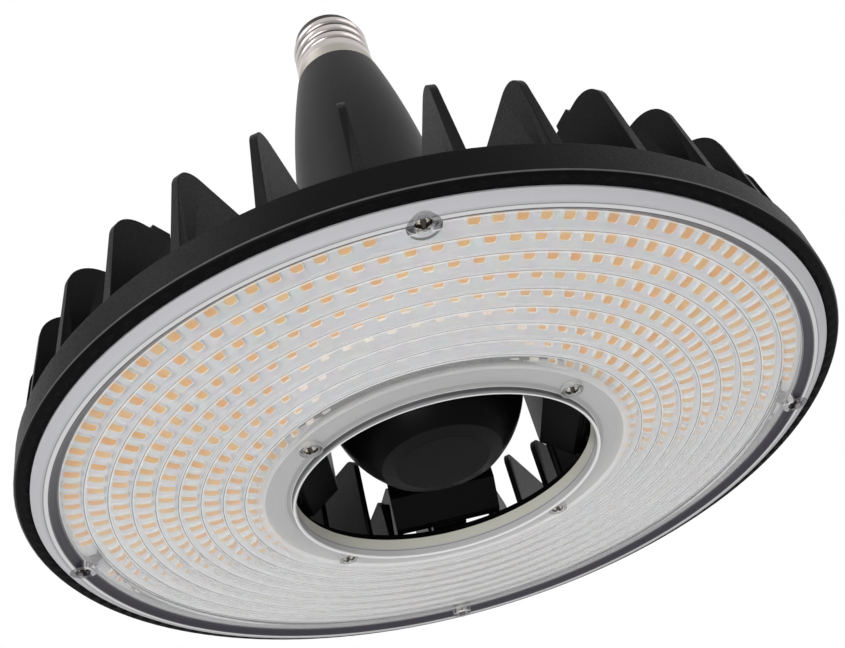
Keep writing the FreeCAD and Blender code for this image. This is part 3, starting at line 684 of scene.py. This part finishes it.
def lens_frost(made, masks):
    """How milky the lens is: frosted flanges with clearer bosses, milky grooves and dense steps."""
    clearer = made.math("SUBTRACT", 1.0, made.math("MULTIPLY", masks.bosses, BOSS_CLEARER))
    frost = made.all_of(made.any_of(masks.outer, masks.inner, masks.steps), clearer)
    thinner = made.math("MULTIPLY", made.math("SUBTRACT", masks.inner, masks.lining), INNER_THINNER)
    frost = made.math("SUBTRACT", made.math("MULTIPLY", frost, FLANGE_FROST), made.any_of(thinner, 0.0))
    # the moulded face looks clear from straight ahead and milky at a glancing angle
    haze = made.spread(made.add("ShaderNodeLayerWeight").outputs["Facing"], *HAZE, *HAZE_FACING)
    return made.any_of(frost, made.math("MULTIPLY", masks.groove, GROOVE_FROST), haze,
                       made.math("MULTIPLY", masks.steps, STEP_FROST))


def lens_tone(made, looks, masks):
    """Colour of the milky parts: radial lines on the outer flange, concentric ones on the inner flange."""
    hatched = made.blend(made.rise(masks.hatch, -1.0, 1.0), shaded(looks.outer_frosting, 0.92),
                         looks.outer_frosting)
    ringed = made.blend(made.wave(320.0, wave_type="RINGS", rings_direction="Z"), shaded(looks.frosting, 0.9),
                        looks.frosting)
    tone = made.blend(masks.outer, ringed, hatched)
    # painted shade: dark lines and dark steps; painted highlight: the bright lip round the opening
    for mask, over in ((masks.pale, looks.frosting), (masks.flange_line, looks.crease_shade),
                       (masks.edge_line, looks.step), (masks.ridged, looks.lip), (masks.crease_shade, looks.crease_shade),
                       (masks.tube, looks.tube), (masks.seam, looks.crease_shade), (masks.lip, looks.lip),
                       (masks.steps, made.blend(masks.beyond, looks.lip_side_shade, looks.step))):
        tone = made.blend(mask, tone, over)
    return tone


def lens_finish(sizes, looks, low, high, bore):
    """Clear plastic with frosted flanges, a beige tube, steps painted dark as shade and a painted highlight
    on the lip.
    """
    made = Finish("clear_lens", looks.lens, 0.03)
    made.shader.inputs["Transmission Weight"].default_value = 1.0
    made.shader.inputs["IOR"].default_value = 1.5
    # faint colours in the moulding
    bright = made.add("ShaderNodeBrightContrast")
    bright.inputs["Bright"].default_value = 0.13
    faint = made.blend(0.3, (1.0, 1.0, 1.0), made.noise(240.0, 2.0, output="Color"))
    made.link(faint, bright.inputs["Color"])
    made.colour(bright.outputs[0])
    masks = lens_masks(made, sizes, low, high, bore)
    frosting = made.add("ShaderNodeBsdfPrincipled")
    frosting.inputs["Roughness"].default_value = 0.3
    made.link(lens_tone(made, looks, masks), frosting.inputs["Base Color"])
    # flow marks of the moulding
    made.link(made.bump(made.noise(300.0, 3.0), 0.00002, 0.5), frosting.inputs["Normal"])
    surface = made.mix(lens_frost(made, masks), made.shader.outputs[0], frosting.outputs[0])
    # light passes the lens on its way to the board
    passed = made.add("ShaderNodeBsdfTransparent")
    passed.inputs["Color"].default_value = (0.93, 0.93, 0.93, 1.0)
    shadow = made.add("ShaderNodeLightPath").outputs["Is Shadow Ray"]
    made.link(made.mix(shadow, surface, passed.outputs[0]), made.output.inputs["Surface"])
    return made


def build_lens():
    """The clear lens with rounded ridges, flanges, bosses and screw recesses."""
    sizes, looks = settings()
    low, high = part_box("lens")
    bore = min(v.co.xy.length for v in frame["nodes"]["lens"].data.vertices)
    mesh = turned_mesh(lens_profile(sizes, bore, low, high), LENS_SEGMENTS)
    bosses, holes = bmesh.new(), bmesh.new()
    head, seat = sizes.head_radius + HEAD_GAP, low.z + SEAT_DEPTH
    for screws, boss, top, _ in LENS_BOSSES:
        for group in solids_of(screws):
            at = centre_of(group)
            add_plug(bosses, at, ((boss, low.z + top), (boss, low.z + sizes.flange_back)))
            add_plug(holes, at, ((head, low.z - CUT_FROM), (head, seat), (SHANK_HOLE, seat),
                                 (SHANK_HOLE, low.z + CUT_TO)))
    mesh = joined(joined(mesh, bosses, "UNION"), holes, "DIFFERENCE")
    for face in mesh.faces:
        face.smooth = True
    piece("ridged_lens", mesh, [lens_finish(sizes, looks, low, high, bore)], ["lens"],
          smooth=28)


# Board and LEDs

def package_outline(half, long, corner):
    """A rectangle with bevelled corners, as points in order."""
    x, y = half - corner, long - corner
    return [(half, -y), (half, y), (x, long), (-x, long), (-half, y), (-half, -y), (-x, -long), (x, -long)]


def add_package(mesh, group, sizes):
    """An LED package with a sunken phosphor window, in the place of a packed one."""
    centre = centre_of(group)
    turned = Matrix.Rotation(math.atan2(centre.y, centre.x), 3, "Z")
    local = [turned.transposed() @ (co - centre) for co in group]
    half, long = max(co.x for co in local) + sizes.package_widening, max(co.y for co in local)
    low, high = min(co.z for co in group), max(co.z for co in group)
    border, corner = sizes.window_border, sizes.package_corner
    loops = []
    for inset, bevel, z in ((0, corner, high), (0, corner, low), (border, corner * WINDOW_CORNER, low),
                            (border * WINDOW_DRAFT, corner * WINDOW_CORNER, low + sizes.window_depth)):
        loops.append([mesh.verts.new(turned @ Vector((x, y, 0)) + Vector((centre.x, centre.y, z)))
                      for x, y in package_outline(half - inset, long - inset, bevel)])
    mesh.faces.new(reversed(loops[0]))
    bridge(mesh, loops)
    mesh.faces.new(loops[-1]).material_index = 1


def build_leds():
    """The white board, and the packages of each ring of LEDs."""
    sizes, looks = settings()
    dress(["led_board"],
          coated("white_solder_resist", looks.board, 0.35, grain=900.0, depth=0.00001, shade=0.05))
    shell = coated("white_package", looks.package, 0.35, grain=1200.0, depth=0.00001, shade=0.06)
    phosphor = Finish("yellow_phosphor", looks.phosphor, 0.35)
    phosphor.colour(phosphor.blend(phosphor.rise(phosphor.noise(140.0, 1.0), 0.35, 0.65),
                                   looks.phosphor, looks.phosphor_pale))
    phosphor.bump(phosphor.noise(2500.0, 1.0), 0.00002, 0.6)
    for node in LED_RINGS:
        mesh = bmesh.new()
        for group in solids_of(node):
            add_package(mesh, group, sizes)
        piece(node.replace("led_ring", "led_packages"), mesh, [shell, phosphor], [node])


# Screws

def add_screw(mesh, centre, head, shank, seat, face, end, sizes):
    """A pan head screw with a cross recess.

    face is the height of the head's crown, seat that of its underside and end that of the shank's end.
    """
    out = 1.0 if face > seat else -1.0
    crown, sunken = [], set()
    for step in range(CROWN_STEPS + 1):
        reach = head * step / CROWN_STEPS
        fall = (1 - math.sqrt(max(0.0, 1 - (reach / head) ** 2 * CROWN_ARC))) * abs(face - seat) * CROWN
        wide = sizes.recess_width * (0.5 + RECESS_FLARE * (1 - reach / sizes.recess_length))
        deep = sizes.recess_depth * (1 - RECESS_RISE * reach / sizes.recess_length)
        loop = []
        for k in range(1 if step == 0 else SCREW_SEGMENTS):
            turn = 2 * math.pi * k / SCREW_SEGMENTS
            x, y = reach * math.cos(turn), reach * math.sin(turn)
            inside = min(abs(x), abs(y)) < wide and max(abs(x), abs(y)) < sizes.recess_length
            sunk = deep if inside else 0.0
            loop.append(mesh.verts.new(centre + Vector((x, y, face - out * (fall + sunk)))))
            if inside:
                sunken.add(loop[-1])
        crown.append(loop)
    # the middle of the head and the faces in the cross recess take the second material, the painted shade
    for k in range(SCREW_SEGMENTS):
        corners = (crown[0][0], crown[1][k], crown[1][(k + 1) % SCREW_SEGMENTS])
        mesh.faces.new(corners).material_index = 1
    rest = [circle_of(mesh, centre, radius, z, SCREW_SEGMENTS)
            for radius, z in ((head, seat), (shank, seat), (shank, end))]
    for made in bridge(mesh, crown[1:] + rest):
        made.material_index = 1 if sunken.intersection(made.verts) else 0
    mesh.faces.new(rest[-1])


def build_screws():
    """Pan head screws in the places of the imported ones."""
    sizes, looks = settings()
    zinc = bare_metal("screw_zinc", looks.steel, 0.28)
    # painted shade for the cross recesses
    recess = bare_metal("screw_recess", looks.recess, 0.3)
    for node in ("outer_lens_screws", "inner_lens_screws", "arm_screws"):
        mesh = bmesh.new()
        for group in solids_of(node):
            low, high = min(co.z for co in group), max(co.z for co in group)
            middle = centre_of(group)
            centre = Vector((middle.x, middle.y, 0))
            wide = [(co - Vector((centre.x, centre.y, co.z))).length for co in group]
            head, shank = max(wide), min(w for w in wide if w > NEAR_AXIS)
            # the head is the wide end
            edge = [co.z for co, w in zip(group, wide) if w > head * HEAD_EDGE]
            at = sum(edge) / len(edge)
            if "lens" in node:
                head = sizes.head_radius
            if abs(low - at) < abs(high - at):
                add_screw(mesh, centre, head, shank, max(edge), low, high, sizes)
            else:
                add_screw(mesh, centre, head, shank, min(edge), high, low, sizes)
        piece(node.replace("screws", "pan_screws"), mesh, [zinc, recess], [node], smooth=40)


# Screw cap and driver

def finish_cap():
    """Nickel plating with painted shade in the thread's roots and a matt skirt, and black glass."""
    sizes, looks = settings()
    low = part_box("screw_cap")[0]
    made = bare_metal("nickel_plating", looks.cap, 0.2)
    distance, _, height = made.polar()
    skirt = made.fall(height, *(low.z + rise for rise in SKIRT_FADE))
    # painted shade: the thread's roots darker
    made.paint(made.fall(distance, *ROOT_SHADE_FADE), looks.cap_root_shade)
    made.paint(skirt, looks.cap_skirt)
    gloss = made.shader.inputs["Roughness"].links[0].from_socket
    made.link(made.math("ADD", gloss, made.math("MULTIPLY", skirt, 0.25)), made.shader.inputs["Roughness"])
    dress(["screw_cap", "centre_contact"], made)
    glass = Finish("black_glass", looks.glass, 0.08)
    glass.bump(glass.noise(220.0, 2.0), 0.0001, 0.4, sizes.edge_radius)
    dress(["cap_glass"], glass)


def finish_driver():
    """Circuit board, taped core, sleeved cans and copper winding."""
    looks = settings()[1]
    for node, name, base, roughness, depth in (
            ("driver_board", "green_circuit_board", looks.circuit, 0.4, 0.00002),
            ("transformer", "taped_core", looks.tape, 0.5, 0.00004),
            ("driver_capacitors", "sleeved_can", looks.sleeve, 0.3, 0.00002)):
        dress([node], coated(name, base, roughness, grain=900.0, depth=depth))
    winding = Finish("copper_winding", looks.copper, 0.35, 0.9)
    winding.bump(winding.wave(350.0, bands_direction="Y"), 0.0004)
    dress(["mains_choke"], winding)


# Stage

def soft_lamp(name, at, size, watts):
    """A square lamp that points at the middle of the ring."""
    data = bpy.data.lights.new(name, "AREA")
    data.size, data.energy = size, watts
    lamp = bpy.data.objects.new(name, data)
    lamp.location = at
    lamp.rotation_euler = (Vector((0, 0, 0.05)) - lamp.location).to_track_quat("-Z", "Y").to_euler()
    bpy.context.scene.collection.objects.link(lamp)


def build_floor(stage):
    """A wide pale floor."""
    half, under = stage.floor_size / 2, -stage.floor_drop
    mesh = bpy.data.meshes.new("floor")
    mesh.from_pydata([(-half, -half, under), (half, -half, under), (half, half, under), (-half, half, under)],
                     [], [(0, 1, 2, 3)])
    floor = bpy.data.objects.new("floor", mesh)
    bpy.context.scene.collection.objects.link(floor)
    pale = Finish("pale_floor", stage.floor_tone, 0.7)
    pale.colour(pale.blend(pale.noise(3.0), stage.floor_dark, stage.floor_light))
    mesh.materials.append(pale.material)


def build_world(stage):
    """Even light all round, which the camera, gloss and clear plastic see as white."""
    world = bpy.data.worlds.new("pale_room")
    world.use_nodes = True
    nodes, links = world.node_tree.nodes, world.node_tree.links
    light, seen = nodes["Background"], nodes.new("ShaderNodeBackground")
    for background, strength in ((light, stage.sky), (seen, 1.0)):
        background.inputs["Color"].default_value = (1.0, 1.0, 1.0, 1.0)
        background.inputs["Strength"].default_value = strength
    path = nodes.new("ShaderNodeLightPath")
    white = path.outputs["Is Camera Ray"]
    for ray in ("Is Glossy Ray", "Is Transmission Ray"):
        either = nodes.new("ShaderNodeMath")
        either.operation = "MAXIMUM"
        links.new(white, either.inputs[0])
        links.new(path.outputs[ray], either.inputs[1])
        white = either.outputs[0]
    mix = nodes.new("ShaderNodeMixShader")
    for socket, source in zip(mix.inputs, (white, light.outputs[0], seen.outputs[0])):
        links.new(source, socket)
    links.new(mix.outputs[0], nodes["World Output"].inputs["Surface"])
    bpy.context.scene.world = world


def build_camera(stage):
    """A camera below the ring that looks up at the lamp."""
    data = bpy.data.cameras.new("camera")
    data.sensor_fit, data.sensor_width = "HORIZONTAL", 36.0
    data.lens, data.shift_y = stage.camera_focal, stage.camera_shift
    data.clip_start = 0.01
    camera = bpy.data.objects.new("camera", data)
    right, back = Vector(CAMERA_RIGHT).normalized(), -Vector(CAMERA_AHEAD).normalized()
    up = back.cross(right).normalized()
    turned = Matrix((right, up, back)).transposed()
    camera.matrix_world = Matrix.Translation(stage.camera_at) @ turned.to_4x4()
    bpy.context.scene.collection.objects.link(camera)
    bpy.context.scene.camera = camera


def build_stage():
    """Floor, pale room, three soft lamps and the camera."""
    stage = bpy.context.scene.lamp_stage
    build_floor(stage)
    build_world(stage)
    soft_lamp("key_lamp", (-1.1, -0.9, 1.2), 1.0, stage.key)
    soft_lamp("fill_lamp", (1.3, -0.6, 0.7), 1.2, stage.fill)
    soft_lamp("low_lamp", (-0.4, -1.0, -0.8), 0.9, stage.under)
    build_camera(stage)
    bpy.context.scene.view_settings.view_transform = "Standard"


# Operators

def run(job):
    """Run an operator's job; a failure stops the script."""
    if not frame["nodes"]:
        raise RuntimeError("the packed lamp is not loaded")
    job()
    return {"FINISHED"}


class LAMP_OT_castings(bpy.types.Operator):
    """Draft the finned ring's fins and powder coat it"""
    bl_idname = "lamp.castings"
    bl_label = "Finned ring"

    def execute(self, context):
        return run(build_ring)


class LAMP_OT_housing(bpy.types.Operator):
    """Give the driver housing, its cover and the gaskets their moulded finish"""
    bl_idname = "lamp.housing"
    bl_label = "Driver housing"

    def execute(self, context):
        return run(finish_housing)


class LAMP_OT_lens(bpy.types.Operator):
    """Build the clear ridged lens with its frosted flanges"""
    bl_idname = "lamp.lens"
    bl_label = "Lens"

    def execute(self, context):
        return run(build_lens)


class LAMP_OT_leds(bpy.types.Operator):
    """Build the LED packages of each ring and finish their board"""
    bl_idname = "lamp.leds"
    bl_label = "LEDs"

    def execute(self, context):
        return run(build_leds)


class LAMP_OT_screws(bpy.types.Operator):
    """Build the lens screws and the arm screws with cross recesses"""
    bl_idname = "lamp.screws"
    bl_label = "Screws"

    def execute(self, context):
        return run(build_screws)


class LAMP_OT_cap(bpy.types.Operator):
    """Plate the screw cap and glaze its insulator"""
    bl_idname = "lamp.cap"
    bl_label = "Screw cap"

    def execute(self, context):
        return run(finish_cap)


class LAMP_OT_driver(bpy.types.Operator):
    """Finish the electronics inside the housing"""
    bl_idname = "lamp.driver"
    bl_label = "Driver"

    def execute(self, context):
        return run(finish_driver)


class LAMP_OT_stage(bpy.types.Operator):
    """Set up the floor, the soft lamps and the camera"""
    bl_idname = "lamp.stage"
    bl_label = "Stage"

    def execute(self, context):
        return run(build_stage)


OPERATORS = (LAMP_OT_stage, LAMP_OT_castings, LAMP_OT_housing, LAMP_OT_leds, LAMP_OT_lens, LAMP_OT_screws,
             LAMP_OT_cap, LAMP_OT_driver)


class LAMP_PT_pieces(bpy.types.Panel):
    """Lists the lamp's pieces and its settings"""
    bl_label = "High Bay Lamp"
    bl_idname = "LAMP_PT_pieces"
    bl_space_type = "VIEW_3D"
    bl_region_type = "UI"
    bl_category = "High Bay Lamp"

    def draw(self, context):
        layout = self.layout
        for operator in OPERATORS:
            layout.operator(operator.bl_idname)
        for key in GROUPS:
            group, box = getattr(context.scene, key), layout.box()
            for name in group.bl_rna.properties.keys():
                if name not in ("rna_type", "name"):
                    box.prop(group, name)


GROUPS = {"lamp_sizes": LampSizes, "lamp_finishes": LampFinishes, "lamp_stage": LampStage}
CLASSES = tuple(GROUPS.values()) + OPERATORS + (LAMP_PT_pieces,)


def register():
    for cls in CLASSES:
        bpy.utils.register_class(cls)
    for name, group in GROUPS.items():
        setattr(bpy.types.Scene, name, PointerProperty(type=group))


def unregister():
    for name in GROUPS:
        delattr(bpy.types.Scene, name)
    for cls in reversed(CLASSES):
        bpy.utils.unregister_class(cls)


def main():
    """Register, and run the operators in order."""
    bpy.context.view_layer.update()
    register()
    for operator in OPERATORS:
        group, name = operator.bl_idname.split(".")
        getattr(getattr(bpy.ops, group), name)()


if __name__ == "__main__":
    main()
